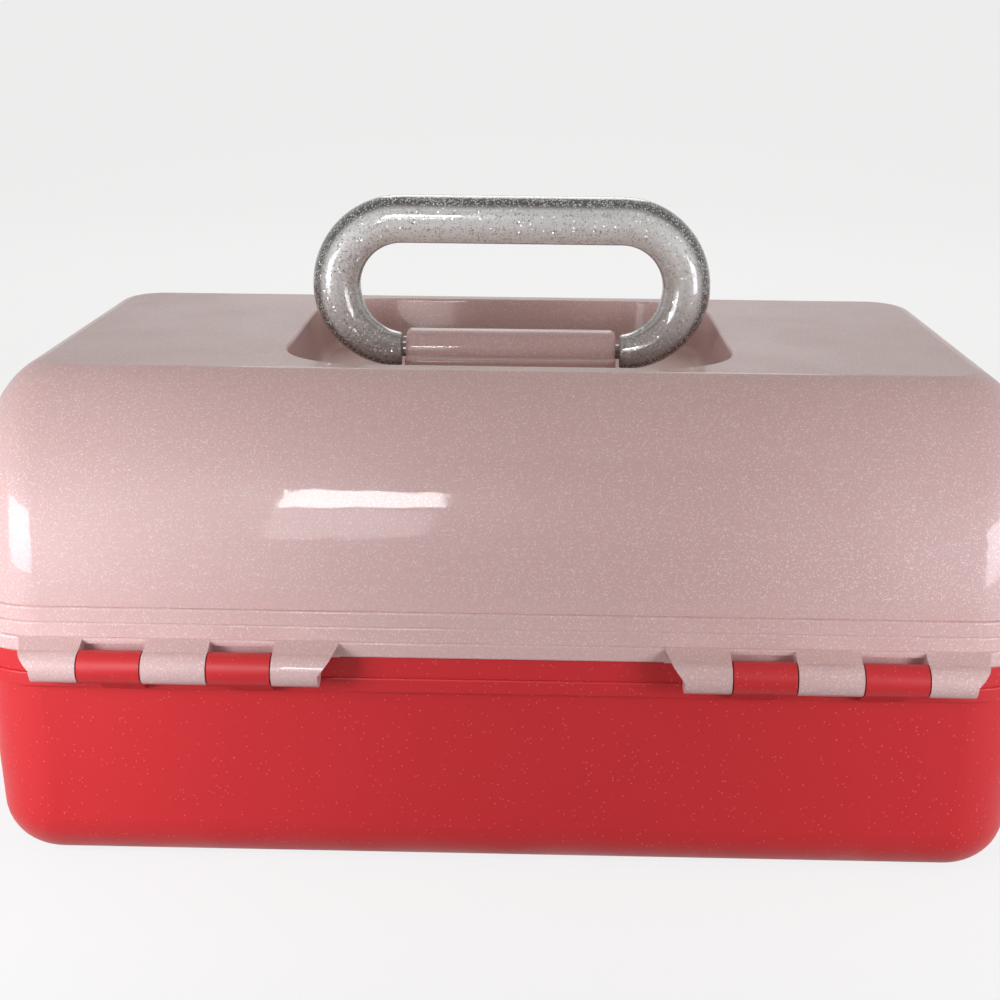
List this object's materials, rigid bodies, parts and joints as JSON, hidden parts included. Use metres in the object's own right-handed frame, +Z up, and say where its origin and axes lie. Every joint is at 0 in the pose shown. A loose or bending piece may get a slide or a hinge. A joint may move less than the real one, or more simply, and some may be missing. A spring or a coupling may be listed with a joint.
{
  "type": "makeup storage case",
  "caption": "Rounded make-up storage case with a hinged domed lid, rising inner trays, a mirror, a front latch and a folding loop handle sunk in the lid's top.",
  "frame": {"origin": "middle of the flat underside that the case stands on", "axes": "+Z up, +X along the case's length to the right as seen from the latch side, -Y towards the latch, +Y towards the hinges"},
  "size_m": [0.324, 0.2265, 0.1947],
  "materials": {
    "base_red": "gloss",
    "lid_pink": "pearl with fine glitter",
    "clear_glitter": "clear plastic with silver glitter",
    "tray_pink": "satin",
    "arm_white": "satin",
    "steel": "satin",
    "mirror_silver": "polished"
  },
  "bodies": {
    "base": {"base_shell": "base_red", "hinge_pin_left": "steel", "hinge_pin_right": "steel", "rear_foot_pin_left": "steel", "rear_foot_pin_right": "steel", "front_foot_pin_left": "steel", "front_foot_pin_right": "steel"},
    "lid": {"lid_shell": "lid_pink", "latch_pin": "steel", "mirror_frame": "tray_pink", "mirror_glass": "mirror_silver", "mirror_rivet_rear_left": "arm_white", "mirror_rivet_rear_right": "arm_white", "mirror_rivet_front_left": "arm_white", "mirror_rivet_front_right": "arm_white", "lid_tray_pin_left": "steel", "lid_tray_pin_right": "steel"},
    "handle": {"handle": "clear_glitter"},
    "latch": {"latch": "clear_glitter"},
    "rear_arm_left": {"rear_arm_left": "arm_white"},
    "rear_arm_right": {"rear_arm_right": "arm_white"},
    "front_arm_left": {"front_arm_left": "arm_white"},
    "front_arm_right": {"front_arm_right": "arm_white"},
    "lower_tray": {"lower_tray": "tray_pink", "lower_rear_tray_pin_left": "steel", "lower_rear_tray_pin_right": "steel", "lower_front_tray_pin_left": "steel", "lower_front_tray_pin_right": "steel"},
    "upper_tray": {"upper_tray": "tray_pink", "upper_rear_tray_pin_left": "steel", "upper_rear_tray_pin_right": "steel", "upper_front_tray_pin_left": "steel", "upper_front_tray_pin_right": "steel"}
  },
  "joints": [
    {"name": "lid_hinge", "type": "hinge", "parent": "base", "child": "lid", "pos_m": [0, 0.11, 0.0702], "axis": [-1, 0, 0], "range_deg": [0, 100]},
    {"name": "handle_fold", "type": "hinge", "parent": "lid", "child": "handle", "pos_m": [0, 0, 0.1427], "axis": [1, 0, 0], "range_deg": [-90, 90]},
    {"name": "latch_swing", "type": "hinge", "parent": "lid", "child": "latch", "pos_m": [0, -0.1066, 0.0895], "axis": [-1, 0, 0], "range_deg": [0, 110]},
    {"name": "rear_arm_left_swing", "type": "hinge", "parent": "base", "child": "rear_arm_left", "pos_m": [0, 0.06195, 0.05163], "axis": [-1, 0, 0], "range_deg": [0, 100]},
    {"name": "rear_arm_right_swing", "type": "hinge", "parent": "base", "child": "rear_arm_right", "pos_m": [0, 0.06195, 0.05163], "axis": [-1, 0, 0], "range_deg": [0, 100]},
    {"name": "front_arm_left_swing", "type": "hinge", "parent": "base", "child": "front_arm_left", "pos_m": [0, 0.01197, 0.05163], "axis": [-1, 0, 0], "range_deg": [0, 100]},
    {"name": "front_arm_right_swing", "type": "hinge", "parent": "base", "child": "front_arm_right", "pos_m": [0, 0.01197, 0.05163], "axis": [-1, 0, 0], "range_deg": [0, 100]},
    {"name": "lower_tray_level", "type": "hinge", "parent": "rear_arm_left", "child": "lower_tray", "pos_m": [0, 0.01765, 0.064], "axis": [-1, 0, 0], "range_deg": [-100, 0]},
    {"name": "upper_tray_level", "type": "hinge", "parent": "rear_arm_left", "child": "upper_tray", "pos_m": [0, -0.02664, 0.07637], "axis": [-1, 0, 0], "range_deg": [-100, 0]}
  ],
  "couplings": [
    {"joint": "rear_arm_left_swing", "follows": "lid_hinge", "ratio": 1},
    {"joint": "rear_arm_right_swing", "follows": "lid_hinge", "ratio": 1},
    {"joint": "front_arm_left_swing", "follows": "lid_hinge", "ratio": 1},
    {"joint": "front_arm_right_swing", "follows": "lid_hinge", "ratio": 1},
    {"joint": "lower_tray_level", "follows": "lid_hinge", "ratio": -1},
    {"joint": "upper_tray_level", "follows": "lid_hinge", "ratio": -1}
  ]
}
